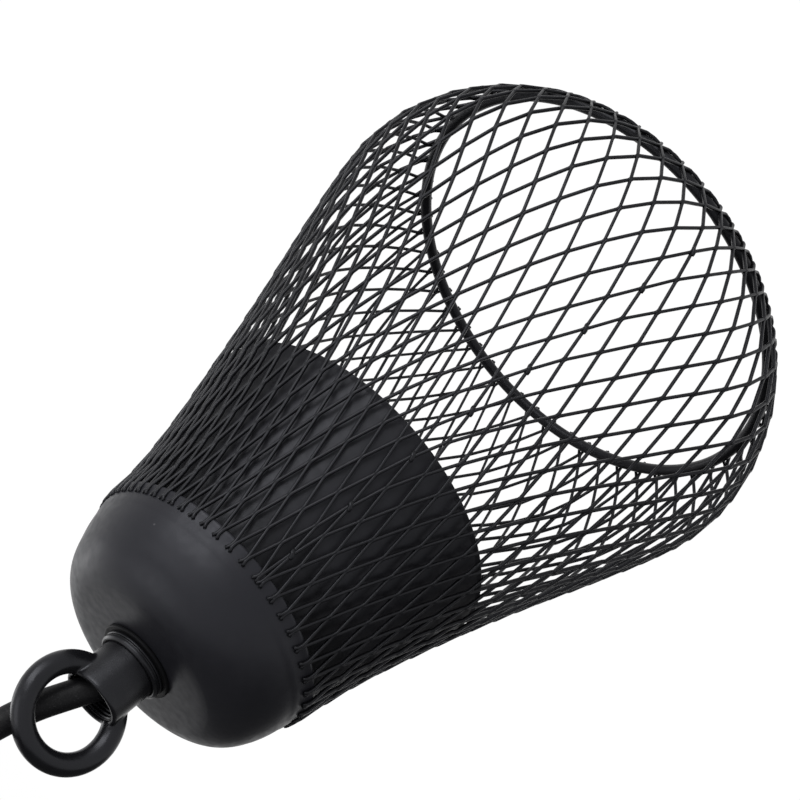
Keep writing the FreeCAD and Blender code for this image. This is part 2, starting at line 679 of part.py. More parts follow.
# Ceiling fitting: round rose, cord grip through its face, grip nut and strap
rose = turned("ceiling_rose", ROSE_FOOT_Z, [
    ("grip_r + grip_clear", "0"),
    ("rose_r - rose_bend", "0", "rose_bend", 1),
    ("rose_r", "rose_bend"),
    ("rose_r", "rose_high"),
    ("rose_r - rose_wall", "rose_high"),
    ("rose_r - rose_wall", "rose_bend", "rose_bend - rose_wall", -1),
    ("rose_r - rose_bend", "rose_wall"),
    ("grip_r + grip_clear", "rose_wall"),
])
keep(rose, "ceiling_rose")

grip = turned("cord_grip", "%s - grip_head_high" % ROSE_FOOT_Z, [
    ("flex_r + grip_clear", "0"),
    ("grip_head_r - 1", "0"),
    ("grip_head_r", "1"),
    ("grip_head_r", "grip_head_high"),
    ("grip_r", "grip_head_high"),
    ("grip_r", "grip_high - 0.5"),
    ("grip_r - 0.5", "grip_high"),
    ("flex_r + grip_clear", "grip_high"),
])
keep(grip, "cord_grip")

grip_nut = turned("cord_grip_nut", "%s + rose_wall" % ROSE_FOOT_Z, [
    ("grip_r + thread_clear", "0"),
    ("grip_head_r + 1.5", "0"),
    ("grip_head_r + 1.5", "grip_nut_high"),
    ("grip_r + thread_clear", "grip_nut_high"),
])
keep(grip_nut, "cord_grip_nut")

STRAP_REACH = "sqrt((rose_r - rose_wall - strap_gap)^2 - (strap_wide / 2)^2)"
bar = bound("Part::Box", "strap_bar", Length="2 * " + STRAP_REACH, Width="strap_wide", Height="strap_thick")
seat_at(bar, x="0 - " + STRAP_REACH, y="0 - strap_wide / 2", z="%s - strap_thick" % CEILING_Z)
holes = []
for side in (-1, 1):
    hole = bound("Part::Cylinder", "strap_hole_%s" % ("left" if side < 0 else "right"),
                 Radius="strap_hole_r", Height="strap_thick")
    seat_at(hole, x="%d * strap_hole_pitch / 2" % side, z="%s - strap_thick" % CEILING_Z)
    holes.append(hole)
strap = cut("strap_cut", bar, fuse("strap_holes", holes))
keep(strap, "ceiling_strap")

doc.recompute()

for item in doc.Objects:
    if "Invalid" in item.State or "Error" in item.State:
        raise RuntimeError("failed: %s %s" % (item.Name, item.State))
for thing in nodes:
    shape = thing.Shape
    if shape.isNull() or not shape.isValid() or shape.Volume <= 0:
        raise RuntimeError("bad shape: %s" % thing.Label)

os.makedirs("parts", exist_ok=True)
for thing in nodes:
    thing.Shape.exportStep("parts/%s.step" % thing.Label)
    box = thing.Shape.BoundBox
    print("%-18s solids %d volume %9.1f z %7.2f to %7.2f r %6.2f" % (
        thing.Label, len(thing.Shape.Solids), thing.Shape.Volume, box.ZMin, box.ZMax, box.XMax))
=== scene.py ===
import math

import bmesh
import bpy
import numpy as np
from mathutils import Matrix, Vector


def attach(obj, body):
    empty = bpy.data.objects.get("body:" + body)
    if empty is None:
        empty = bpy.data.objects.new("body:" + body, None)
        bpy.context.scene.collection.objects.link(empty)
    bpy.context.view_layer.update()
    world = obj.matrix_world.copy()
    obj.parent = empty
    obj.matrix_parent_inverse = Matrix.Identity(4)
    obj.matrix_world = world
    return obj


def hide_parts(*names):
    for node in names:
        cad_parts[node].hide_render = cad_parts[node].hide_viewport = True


# Caged pendant lamp guard. Sizes are in millimetres and scaled to metres when a
# piece is made; the camera, the studio and the shaders are in metres. +Z is up,
# the origin is the inside of the crown of the hanging loop, and the seam of the
# basket is on the -Y side.

MM = 0.001

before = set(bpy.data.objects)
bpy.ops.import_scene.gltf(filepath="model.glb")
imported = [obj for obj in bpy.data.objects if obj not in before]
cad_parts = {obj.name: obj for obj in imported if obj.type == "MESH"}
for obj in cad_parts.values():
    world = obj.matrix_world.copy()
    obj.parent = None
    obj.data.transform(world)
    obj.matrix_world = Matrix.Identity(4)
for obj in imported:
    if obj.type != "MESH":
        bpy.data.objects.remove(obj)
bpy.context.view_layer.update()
scene = bpy.context.scene
scene.view_settings.view_transform = "Standard"

# Camera at the photo's viewing angle

CAMERA_LENS = 88.62
CAMERA_PLACE = (-0.00113, -0.44393, 0.14606)
CAMERA_RIGHT = (-0.63658, -0.40224, -0.65801)
CAMERA_AHEAD = (0.01952, 0.84453, -0.53515)


def make_camera():
    data = bpy.data.cameras.new("photo_camera")
    data.sensor_fit = "HORIZONTAL"
    data.sensor_width = 36.0
    data.lens = CAMERA_LENS
    data.clip_start = 0.02
    data.clip_end = 30.0
    camera = bpy.data.objects.new("photo_camera", data)
    scene.collection.objects.link(camera)
    right = Vector(CAMERA_RIGHT).normalized()
    ahead = Vector(CAMERA_AHEAD).normalized()
    up = right.cross(ahead).normalized()
    turn = Matrix((right, up, -ahead)).transposed().to_4x4()
    camera.matrix_world = Matrix.Translation(CAMERA_PLACE) @ turn
    scene.camera = camera


make_camera()

# Materials


class Graph:
    """Small helper that adds shader nodes to one material and joins them."""

    def __init__(self, name):
        self.material = bpy.data.materials.new(name)
        self.material.use_nodes = True
        self.tree = self.material.node_tree
        self.shader = self.tree.nodes["Principled BSDF"]
        self.place = self.add("ShaderNodeTexCoord").outputs["Object"]

    def add(self, kind, **settings):
        node = self.tree.nodes.new(kind)
        for key, value in settings.items():
            setattr(node, key, value)
        return node

    def join(self, source, target):
        self.tree.links.new(source, target)

    def stretched(self, scale):
        mapping = self.add("ShaderNodeMapping")
        mapping.inputs["Scale"].default_value = scale
        self.join(self.place, mapping.inputs["Vector"])
        return mapping.outputs["Vector"]

    def noise(self, scale, detail=2.0, rough=0.5, vector=None):
        node = self.add("ShaderNodeTexNoise")
        node.inputs["Scale"].default_value = scale
        node.inputs["Detail"].default_value = detail
        node.inputs["Roughness"].default_value = rough
        self.join(vector or self.place, node.inputs["Vector"])
        return node.outputs["Fac"]

    def ramp(self, source, stops, between="LINEAR"):
        """Colour by source through stops of (place, colour)."""
        node = self.add("ShaderNodeValToRGB")
        ramp = node.color_ramp
        ramp.interpolation = between
        while len(ramp.elements) < len(stops):
            ramp.elements.new(0.5)
        for element, (place, colour) in zip(ramp.elements, stops):
            element.position = place
            element.color = (*colour, 1.0)
        self.join(source, node.inputs["Fac"])
        return node.outputs["Color"]

    def remap(self, source, low, high, to_low, to_high):
        node = self.add("ShaderNodeMapRange")
        node.inputs["From Min"].default_value = low
        node.inputs["From Max"].default_value = high
        node.inputs["To Min"].default_value = to_low
        node.inputs["To Max"].default_value = to_high
        self.join(source, node.inputs["Value"])
        return node.outputs["Result"]

    def mix(self, factor, source, colour):
        """source where factor is 0, and one plain colour where it is 1."""
        node = self.add("ShaderNodeMix", data_type="RGBA")
        self.join(factor, node.inputs[0])
        self.join(source, node.inputs[6])
        node.inputs[7].default_value = (*colour, 1.0)
        return node.outputs[2]

    def bump(self, heights):
        """heights: (source, strength, distance in metres), laid over each other."""
        last = None
        for source, strength, distance in heights:
            node = self.add("ShaderNodeBump")
            node.inputs["Strength"].default_value = strength
            node.inputs["Distance"].default_value = distance
            self.join(source, node.inputs["Height"])
            if last is not None:
                self.join(last, node.inputs["Normal"])
            last = node.outputs["Normal"]
        self.join(last, self.shader.inputs["Normal"])


GLOSS_TINT = (0.90, 0.92, 1.0, 1.0)
DUST_COLOUR = (0.16, 0.16, 0.17)
# Colour of painted shade, where a part is darkened as if shaded by its neighbours
PAINTED_SHADE_COLOUR = (0.001, 0.001, 0.0012)


def coat(name, dark, light, rough, specular, grain=900.0, grain_depth=0.00002, dust=0.0, painted_shade_heights=None):
    """Painted or moulded black: colour drift, fine grain in the gloss and relief, dust specks, and painted
    shade: the colour fades to nearly black from the second of the two shade heights up to the first."""
    g = Graph(name)
    g.shader.inputs["Specular IOR Level"].default_value = specular
    g.shader.inputs["Specular Tint"].default_value = GLOSS_TINT
    colour = g.ramp(g.noise(45.0, 3.0), [(0.3, dark), (0.72, light)])
    if dust:
        cells = g.add("ShaderNodeTexVoronoi", feature="F1")
        cells.inputs["Scale"].default_value = 160.0
        g.join(g.place, cells.inputs["Vector"])
        dots = g.remap(cells.outputs["Distance"], 0.05, 0.09, 1.0, 0.0)
        patches = g.remap(g.noise(70.0, 1.0), 0.62, 0.66, 0.0, dust)
        both = g.add("ShaderNodeMath", operation="MULTIPLY")
        g.join(dots, both.inputs[0])
        g.join(patches, both.inputs[1])
        colour = g.mix(both.outputs[0], colour, DUST_COLOUR)
    # Painted shade: the colour fades to nearly black towards the upper of the two heights
    if painted_shade_heights:
        split = g.add("ShaderNodeSeparateXYZ")
        g.join(g.place, split.inputs["Vector"])
        shade = g.remap(split.outputs["Z"], *painted_shade_heights, 1.0, 0.0)
        colour = g.mix(shade, colour, PAINTED_SHADE_COLOUR)
    g.join(colour, g.shader.inputs["Base Color"])
    gloss = g.noise(grain * 0.5, 2.0)
    g.join(g.remap(gloss, 0.3, 0.7, rough - 0.05, rough + 0.06), g.shader.inputs["Roughness"])
    fine = g.noise(grain, 3.0)
    coarse = g.noise(grain * 0.12, 2.0)
    g.bump([(fine, 0.22, grain_depth), (coarse, 0.05, grain_depth)])
    return g.material


def metal(name, dark, light, rough):
    """Plain metal with turning marks."""
    g = Graph(name)
    g.shader.inputs["Metallic"].default_value = 1.0
    marks = g.noise(1.0, 4.0, 0.6, g.stretched((40.0, 40.0, 900.0)))
    g.join(g.ramp(marks, [(0.3, dark), (0.7, light)]), g.shader.inputs["Base Color"])
    g.join(g.remap(marks, 0.3, 0.7, rough - 0.06, rough + 0.08), g.shader.inputs["Roughness"])
    g.bump([(marks, 0.15, 0.00002)])
    return g.material


def flex_jacket():
    """Matt black plastic jacket with a faint speckle and extrusion lines."""
    g = Graph("flex_jacket")
    g.shader.inputs["Specular IOR Level"].default_value = 0.14
    speckle = g.noise(2600.0, 1.0)
    colour = g.ramp(speckle, [(0.45, (0.006, 0.006, 0.007)), (0.68, (0.011, 0.011, 0.012))])
    bright = g.remap(g.noise(3400.0, 0.0), 0.72, 0.78, 0.0, 0.5)
    g.join(g.mix(bright, colour, (0.05, 0.05, 0.055)), g.shader.inputs["Base Color"])
    g.join(g.remap(g.noise(600.0), 0.3, 0.7, 0.46, 0.6), g.shader.inputs["Roughness"])
    g.bump([(g.noise(1800.0, 2.0), 0.3, 0.00003), (g.noise(250.0, 1.0), 0.1, 0.0001)])
    return g.material


def ceramic():
    """Glazed white ceramic with a faint unevenness."""
    g = Graph("glazed_ceramic")
    g.shader.inputs["Specular IOR Level"].default_value = 0.5
    g.shader.inputs["Coat Weight"].default_value = 0.4
    colour = g.ramp(g.noise(220.0, 3.0), [(0.3, (0.74, 0.71, 0.64)), (0.7, (0.83, 0.81, 0.76))])
    g.join(colour, g.shader.inputs["Base Color"])
    g.join(g.remap(g.noise(400.0), 0.3, 0.7, 0.22, 0.34), g.shader.inputs["Roughness"])
    g.bump([(g.noise(500.0, 2.0), 0.15, 0.00005)])
    return g.material


def insulation():
    """Three cores: blue, brown and green, by the third of a turn they lie in."""
    blue = (0.02, 0.05, 0.22)
    brown = (0.16, 0.07, 0.03)
    green = (0.1, 0.28, 0.06)
    g = Graph("core_insulation")
    split = g.add("ShaderNodeSeparateXYZ")
    g.join(g.place, split.inputs["Vector"])
    turn = g.add("ShaderNodeMath", operation="ARCTAN2")
    g.join(split.outputs["Y"], turn.inputs[0])
    g.join(split.outputs["X"], turn.inputs[1])
    part = g.remap(turn.outputs[0], -math.pi, math.pi, 0.0, 1.0)
    cores = g.ramp(part, [(0.0, blue), (0.25, brown), (0.583, green), (0.917, blue)], "CONSTANT")
    g.join(cores, g.shader.inputs["Base Color"])
    g.join(g.remap(g.noise(900.0), 0.3, 0.7, 0.35, 0.5), g.shader.inputs["Roughness"])
    g.bump([(g.noise(900.0, 2.0), 0.2, 0.00002)])
    return g.material


CAP_COAT = coat("cap_powder", (0.0115, 0.0115, 0.0145), (0.0145, 0.0145, 0.0178), 0.4, 0.21, dust=1.0)
MESH_COAT = coat("mesh_powder", (0.005, 0.005, 0.006), (0.009, 0.009, 0.0105), 0.36, 0.2, grain=1500.0)
HOOP_COAT = coat("hoop_powder", (0.005, 0.005, 0.006), (0.008, 0.008, 0.0095), 0.36, 0.16, grain=1200.0)
# The cup's top is painted nearly black: painted shade under the cap's overhang and the basket's upper rows
CUP_COAT_AND_SHADE = coat("cup_satin_painted_shade", (0.011, 0.011, 0.013), (0.015, 0.015, 0.018), 0.42, 0.20, grain_depth=0.000012,
                painted_shade_heights=(-0.055, -0.070))
CAST_COAT = coat("loop_casting", (0.005, 0.005, 0.006), (0.008, 0.008, 0.0095), 0.28, 0.25, grain=700.0,
                 grain_depth=0.00003, dust=0.5)
WASHER_COAT = coat("washer_black", (0.004, 0.004, 0.0045), (0.007, 0.007, 0.0075), 0.5, 0.08)
HOLDER = coat("holder_phenolic", (0.014, 0.014, 0.015), (0.022, 0.022, 0.023), 0.34, 0.5, grain=500.0)
ZINC = metal("zinc_plate", (0.5, 0.51, 0.53), (0.66, 0.67, 0.69), 0.34)
BRASS = metal("plain_brass", (0.62, 0.44, 0.19), (0.78, 0.58, 0.29), 0.28)
JACKET = flex_jacket()
CERAMIC = ceramic()
CORES = insulation()

# Mesh helpers

CORNER_SHARE = 0.48     # of a side, at most, that a turned corner takes


def add_piece(name, verts, faces, material, replaced=(), sharp=None):
    mesh = bpy.data.meshes.new(name)
    mesh.from_pydata([tuple(c * MM for c in v) for v in verts], [], faces)
    mesh.validate()
    mesh.shade_smooth()
    if sharp:
        mesh.set_sharp_from_angle(angle=math.radians(sharp))
    mesh.materials.append(material)
    piece = bpy.data.objects.new(name, mesh)
    scene.collection.objects.link(piece)
    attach(piece, "root")
    if replaced:
        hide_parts(*replaced)
    return piece


def rounded(corners, fine=5):
    """Closed profile of (radius, height, bend), where a corner with a bend is turned in fine points."""
    line = []
    count = len(corners)
    for i, (r, z, bend) in enumerate(corners):
        here = Vector((r, z))
        if bend <= 0:
            line.append((r, z))
            continue
        back = Vector(corners[i - 1][:2]) - here
        ahead = Vector(corners[(i + 1) % count][:2]) - here
        half = back.angle(ahead) / 2.0
        reach = min(bend / math.tan(half), back.length * CORNER_SHARE, ahead.length * CORNER_SHARE)
        a = here + back.normalized() * reach
        b = here + ahead.normalized() * reach
        for k in range(fine):
            t = k / (fine - 1.0)
            p = a * (1 - t) ** 2 + here * (2 * t * (1 - t)) + b * t ** 2
            line.append((p.x, p.y))
    return line


def lathe(profile, steps, base=0, lift=None):
    """Closed profile of (radius, height) turned about Z. lift(turn, r, z) may move a point."""
    verts = []
    faces = []
    count = len(profile)
    for i in range(steps):
        turn = 2.0 * math.pi * i / steps
        for r, z in profile:
            if lift:
                r, z = lift(turn, r, z)
            verts.append((r * math.cos(turn), r * math.sin(turn), z))
    for i in range(steps):
        a = base + i * count
        b = base + ((i + 1) % steps) * count
        for k in range(count):
            m = (k + 1) % count
            faces.append((a + k, b + k, b + m, a + m))
    return verts, faces


def outward(piece, joined=True):
    """Faces turned outwards and, where joined, doubled points made one."""
    bm = bmesh.new()
    bm.from_mesh(piece.data)
    if joined:
        bmesh.ops.remove_doubles(bm, verts=bm.verts, dist=1e-7)
    bmesh.ops.recalc_face_normals(bm, faces=bm.faces)
    bm.to_mesh(piece.data)
    bm.free()
    return piece


def turned(name, profile, material, replaced, steps, lift=None):
    """Piece turned about Z from a closed profile."""
    verts, faces = lathe(profile, steps, lift=lift)
    return outward(add_piece(name, verts, faces, material, replaced))


def helix(turn, z, pitch):
    """1 on the ridge of a thread and -1 in its root."""
    return math.cos(2.0 * math.pi * z / pitch - turn)


def flutes(turn, count):
    """0 to 1 and back, count times round."""
    return 0.5 - 0.5 * math.cos(turn * count)


class Spline:
    """Cubic curve through (radius, height) stations, read by its length in mm. One cubic fills its first two
    gaps, and one its last two."""

    SAMPLES = 1601
    REACH = 0.4     # mm each way from a point, to read its slope

    def __init__(self, stations):
        pts = np.array(stations, float)
        mark = np.concatenate([[0.0], np.cumsum(np.hypot(*np.diff(pts, axis=0).T))])
        n = len(pts)
        gap = np.diff(mark)
        rows = np.zeros((n, n))
        right = np.zeros((n, 2))
        rows[0, :3] = (gap[1], -(gap[0] + gap[1]), gap[0])
        rows[-1, -3:] = (gap[-1], -(gap[-2] + gap[-1]), gap[-2])
        slope = np.diff(pts, axis=0) / gap[:, None]
        for i in range(1, n - 1):
            rows[i, i - 1:i + 2] = (gap[i - 1], 2.0 * (gap[i - 1] + gap[i]), gap[i])
            right[i] = 6.0 * (slope[i] - slope[i - 1])
        bend = np.linalg.solve(rows, right)
        t = np.linspace(0.0, mark[-1], self.SAMPLES)
        k = np.clip(np.searchsorted(mark, t, side="right") - 1, 0, n - 2)
        g = gap[k][:, None]
        a = ((mark[k + 1] - t) / gap[k])[:, None]
        b = 1.0 - a
        self.points = (a * pts[k] + b * pts[k + 1]
                       + ((a ** 3 - a) * bend[k] + (b ** 3 - b) * bend[k + 1]) * g * g / 6.0)
        steps = np.hypot(*np.diff(self.points, axis=0).T)
        self.lengths = np.concatenate([[0.0], np.cumsum(steps)])
        self.total = self.lengths[-1]

    def place(self, s):
        """(radius, height) at a length."""
        return [float(np.interp(s, self.lengths, self.points[:, i])) for i in (0, 1)]

    def at(self, s):
        """(radius, height) at a length, and the outward normal there."""
        r, z = self.place(s)
        r2, z2 = self.place(s + self.REACH)
        r1, z1 = self.place(s - self.REACH)
        length = math.hypot(r2 - r1, z2 - z1)
        return r, z, -(z2 - z1) / length, (r2 - r1) / length


def tube(path, ups, half_wide, half_thick, sides=8, closed=False, verts=None, faces=None, power=1.0):
    """Rod of oval section along path, each point with its own up direction. A half size is one number or a
    list, and a power under 1 makes the section squarer."""
    verts = [] if verts is None else verts
    faces = [] if faces is None else faces
    base = len(verts)
    n = len(path)
    for i in range(n):
        if closed:
            along = path[(i + 1) % n] - path[i - 1]
        else:
            along = path[min(i + 1, n - 1)] - path[max(i - 1, 0)]
        along.normalize()
        up = (ups[i] - along * ups[i].dot(along)).normalized()
        side = along.cross(up)
        wide = half_wide[i] if isinstance(half_wide, list) else half_wide
        thick = half_thick[i] if isinstance(half_thick, list) else half_thick
        for k in range(sides):
            turn = 2.0 * math.pi * (k + 0.5) / sides
            c = math.copysign(abs(math.cos(turn)) ** power, math.cos(turn))
            d = math.copysign(abs(math.sin(turn)) ** power, math.sin(turn))
            p = path[i] + side * (wide * c) + up * (thick * d)
            verts.append((p.x, p.y, p.z))
    last = n if closed else n - 1
    for i in range(last):
        a = base + i * sides
        b = base + ((i + 1) % n) * sides
        for k in range(sides):
            m = (k + 1) % sides
            faces.append((a + k, a + m, b + m, b + k))
    if not closed:
        faces.append(tuple(base + k for k in reversed(range(sides))))
        faces.append(tuple(base + (n - 1) * sides + k for k in range(sides)))
    return verts, faces


# Flex

FLEX_ROUTE = [
    (0.0, 0.0, -39.8), (0.1, 0.0, -29.0), (0.8, 0.3, -20.8), (3.6, 1.9, -14.2),
    (6.9, 4.9, -6.5), (8.9, 7.2, 1.0), (10.1, 8.4, 8.0), (10.6, 9.2, 20.0), (10.0, 8.9, 34.0),
    (8.2, 7.8, 49.0), (5.6, 5.3, 64.0), (2.8, 2.6, 79.0), (0.8, 0.7, 93.0),
    (0.0, 0.0, 106.0), (0.05, 0.0, 116.5),
]
FLEX_R = 3.5


def make_flex():
    curve = bpy.data.curves.new("flex_cord", "CURVE")
    curve.dimensions = "3D"
    line = curve.splines.new("NURBS")
    line.points.add(len(FLEX_ROUTE) - 1)
    for point, place in zip(line.points, FLEX_ROUTE):
        point.co = (place[0] * MM, place[1] * MM, place[2] * MM, 1.0)
    line.order_u = 3
    line.use_endpoint_u = True
    line.resolution_u = 12
    curve.bevel_depth = FLEX_R * MM
    curve.bevel_resolution = 10
    curve.use_fill_caps = True
    curve.materials.append(JACKET)
    cord = bpy.data.objects.new("flex_cord", curve)
    scene.collection.objects.link(cord)
    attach(cord, "root")
    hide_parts("flex")
    return cord


flex_cord = make_flex()

# Cap, collar and washer

CAP_TOP = -31.4
CAP_BORE = 5.25
CAP_WALL = 0.9
CAP_SIDE = Spline([(r, CAP_TOP - drop) for r, drop in (
    (22.0, 0.5), (24.6, 1.35), (27.0, 2.7), (29.25, 4.7), (30.9, 7.0), (32.3, 9.9), (33.5, 13.0),
    (34.3, 15.9), (34.8, 18.4), (35.15, 20.3), (35.8, 22.5))])
STEP_Z = CAP_TOP - 17.2     # a faint step round the cap's side
STEP_HIGH = 0.16
STEP_SOFT = 0.12
FOOT = CAP_TOP + 1.0        # top of the washer, where the coupler stands
SEAT = 0.02                 # room between stacked pieces


def shifted(piece, still, moved, x, lean=0.0):
    """Points moved along X, from nothing at one height to x mm at the other. lean lifts the +X side there."""
    for vert in piece.data.vertices:
        t = min(max((vert.co.z / MM - still) / (moved - still), 0.0), 1.0)
        vert.co.z += lean * vert.co.x * t
        vert.co.x += x * MM * t


def skirt_radius(z):
    """Outside of the cap's side at a height."""
    return float(np.interp(-z, -CAP_SIDE.points[:, 1], CAP_SIDE.points[:, 0]))


def make_cap():
    outer = [(r, CAP_TOP - drop) for r, drop in (
        (CAP_BORE, 0.0), (9.0, 0.0), (12.5, 0.02), (16.0, 0.12), (19.5, 0.3))]
    for k in range(41):
        r, z, nr, nz = CAP_SIDE.at(CAP_SIDE.total * k / 40.0)
        step = STEP_HIGH / (1.0 + math.exp((z - STEP_Z) / STEP_SOFT))
        outer.append((r + nr * step, z + nz * step))
    inner = []
    for k in range(25):
        r, z, nr, nz = CAP_SIDE.at(CAP_SIDE.total * (1.0 - k / 24.0))
        inner.append((r - nr * CAP_WALL, min(z - nz * CAP_WALL, CAP_TOP - CAP_WALL)))
    r, z = outer[-1]
    edge = [(r + out, z - drop) for out, drop in (
        (0.04, 0.3), (-0.06, 0.6), (-0.3, 0.9), (-0.65, 1.05), (-1.0, 1.0), (-1.15, 0.7))]
    flat = [(12.0, CAP_TOP - 0.95), (CAP_BORE, CAP_TOP - 0.95)]
    cap = turned("cap_shell", outer + edge + inner + flat, CAP_COAT, ("spun_cap",), 256)
    shifted(cap, -53.0, -42.0, -0.55)


def make_collar():
    """Ring with one groove round its side."""
    profile = rounded([(r, FOOT + up, bend) for r, up, bend in (
        (8.3, SEAT, 0.0), (9.45, SEAT, 0.2), (9.5, 0.7, 0.25), (9.05, 0.85, 0.08), (9.0, 1.1, 0.08),
        (9.4, 1.2, 0.12), (9.35, 1.95, 0.2), (8.85, 2.38, 0.15), (8.3, 2.38, 0.0))])
    turned("collar_ring", profile, CAST_COAT, ("lock_collar",), 160)


def make_washer():
    foot = CAP_TOP + SEAT
    profile = rounded([(CAP_BORE, foot, 0.0), (10.7, foot, 0.3), (10.7, FOOT, 0.35), (CAP_BORE, FOOT, 0.0)])
    turned("cap_washer_disc", profile, WASHER_COAT, ("cap_washer",), 160)


make_cap()
make_collar()
make_washer()

# Hanging loop and coupler

MOUTH = -16.0
MOUTH_DEEP = 8.6
COUPLER_R = 8.1
BORE_R = 6.85
NIPPLE_R = 5.05
LOOP_R = 11.94
WIRE_R = 2.92
LOOP_TURN = math.radians(-19.1)     # the ring stands turned about the axis
LOOP_X = 0.6
LOOP_Z = -10.1
LOOP_GAP = math.radians(27.0)       # half of the arc left out inside the tube


def make_loop():
    """Ring and tube blended as one casting: joined, remeshed and smoothed."""
    path = []
    ups = []
    for k in range(91):
        turn = -math.pi / 2.0 + LOOP_GAP + (2.0 * math.pi - 2.0 * LOOP_GAP) * k / 90.0
        flat = math.cos(turn)
        spoke = Vector((flat * math.cos(LOOP_TURN), flat * math.sin(LOOP_TURN), math.sin(turn)))
        path.append(Vector((LOOP_X, 0.0, LOOP_Z)) + spoke * LOOP_R)
        ups.append(spoke)
    verts, faces = tube(path, ups, WIRE_R, WIRE_R, sides=24)
    inside_wall = BORE_R + 0.3
    for i, (x, y, z) in enumerate(verts):
        r = math.hypot(x, y)
        if z < MOUTH - 0.3 and r < inside_wall:
            verts[i] = (x * inside_wall / r, y * inside_wall / r, z)
    shoulder = MOUTH - MOUTH_DEEP
    profile = rounded([
        (NIPPLE_R, FOOT, 0.0), (COUPLER_R, FOOT, 0.25), (COUPLER_R, MOUTH, 0.6), (BORE_R, MOUTH, 0.5),
        (BORE_R, shoulder, 0.2), (NIPPLE_R, shoulder, 0.0)])
    more_verts, more_faces = lathe(profile, 144, base=len(verts))
    casting = add_piece("loop_and_coupler", verts + more_verts, faces + more_faces, CAST_COAT,
                        ("loop_coupler",))
    outward(casting, joined=False)
    skin = casting.modifiers.new("skin", "REMESH")
    skin.mode = "VOXEL"
    skin.voxel_size = 0.3 * MM
    skin.use_smooth_shade = True
    soft = casting.modifiers.new("soft", "SMOOTH")
    soft.factor = 0.5
    soft.iterations = 7
    bpy.context.view_layer.update()
    graph = bpy.context.evaluated_depsgraph_get()
    done = bpy.data.meshes.new_from_object(casting.evaluated_get(graph))
    casting.modifiers.clear()
    casting.data = done
    done.shade_smooth()


def make_thread():
    """Internal thread of the coupler's mouth: a sleeve with a helical ridge."""
    back = 6.95
    root = 6.65
    foot = MOUTH - 6.9

    def lift(turn, r, z):
        if r > 6.7 or z < foot + 0.3 or z > MOUTH - 1.0:
            return r, z
        return r - 0.16 * (1.0 + helix(turn, z - MOUTH, 1.0)), z

    profile = [(back, MOUTH - 0.9), (back, foot)] + [(root, foot + 0.1 * k) for k in range(61)]
    turned("coupler_thread", profile, CAST_COAT, (), 128, lift)


make_loop()
make_thread()

# Basket of expanded metal

HOOP_R = 61.1
HOOP_Z = -207.8
HOOP_WIRE_R = 1.65
WRAP_R = HOOP_WIRE_R + 0.5          # middle of a strand that lies round the hoop
WRAP_START = math.radians(25.0)     # down from the hoop's outside
SHEET = Spline([(35.6, -50.0), (38.8, -71.5), (45.9, -98.1), (53.8, -123.8), (62.6, -149.7), (68.2, -167.1),
                (71.2, -179.7), (70.1, -193.1),
                (HOOP_R + WRAP_R * math.cos(WRAP_START), HOOP_Z - WRAP_R * math.sin(WRAP_START))])
# Length from the cap to each row of crossings
ROWS = [3.3, 12.1, 21.2, 30.4, 40.2, 49.8, 59.1, 68.3, 77.1, 86.0, 94.8, 103.7, 113.1, 122.0, 131.0, 139.6,
        148.2, 156.3, 163.5]
MIDDLE_ROW = 9
CELLS = 54          # from the first column east of the seam round to the last
FRONT = 8           # columns each way from the seam that EAST and WEST hold for
# Angle in degrees of a column beside the seam: a line for each power of the column, with a factor for each
# power of the row
EAST = ((-92.89, -2.69, -2.05, 1.88), (6.509, -0.418, 0.904), (-0.0117, 0.0873, -0.0862))
WEST = ((-99.01, -1.98, 0.28, -0.03), (-7.065, 0.980, 0.872), (-0.0224, -0.0243, -0.0951))
STRAND_WIDE = 0.43      # half sizes
STRAND_THICK = 0.50
LEAN = 0.14             # how far a strand leans out of the sheet
BESIDE = 0.45           # of the half width, from a crossing to the middle of its strand
BOND = 0.35             # half length of a crossing
CAP_HOLD = 3.2          # length over which the strands leave the cap's side
CAP_HOLD_SOFT = 2.2
# Ends on the cap: sideways, up from the first crossing and out of the sheet
CAP_FEET = ((0.6, 2.0, -0.1), (0.1, 1.3, 0.0), (0.0, 0.6, 0.0))
# Ends round the hoop: length past the sheet, share of half a cell sideways. West strands lie almost along it
RIM_EAST = ((0.3, 0.10), (1.3, 0.22), (2.3, 0.33), (2.9, 0.38))
RIM_WEST = ((0.3, 0.45), (1.2, 1.05), (2.0, 1.55), (2.5, 1.8))
# Hook over the seam: sideways, along and out of the sheet
LUG = ((-0.55, -1.0, 0.25), (-0.45, -0.5, 0.6), (-0.15, -0.1, 0.75), (0.2, 0.2, 0.75), (0.45, 0.6, 0.55),
       (0.5, 1.1, 0.25))
LUG_WIDE = 0.52
LUG_THICK = 0.46
# The open end hangs a little askew: rise at ASKEW_AT towards +X and +Y, and of the whole. It starts at the
# height ASKEW_FROM and is full at ASKEW_TO
ASKEW_AT = 60.0
ASKEW_X = -0.7
ASKEW_Y = 0.4
ASKEW_ALL = -0.1
ASKEW_FROM = -110.0
ASKEW_TO = -200.0
SEAM_ANGLE = -95.0      # roughly, in degrees
SAG = {14: 0.2, 15: 0.7, 16: 1.0, 17: 0.6}      # how much lower a row hangs on the east side
BOW = ((HOOP_Z, -100.0, -75.0, -60.0, -50.0), (0.0, 0.0, -0.3, -0.45, -0.15))      # shift in X by height


def column(lines, u, row):
    x = (row - MIDDLE_ROW) / MIDDLE_ROW
    return sum(u ** i * sum(c * x ** j for j, c in enumerate(line)) for i, line in enumerate(lines))


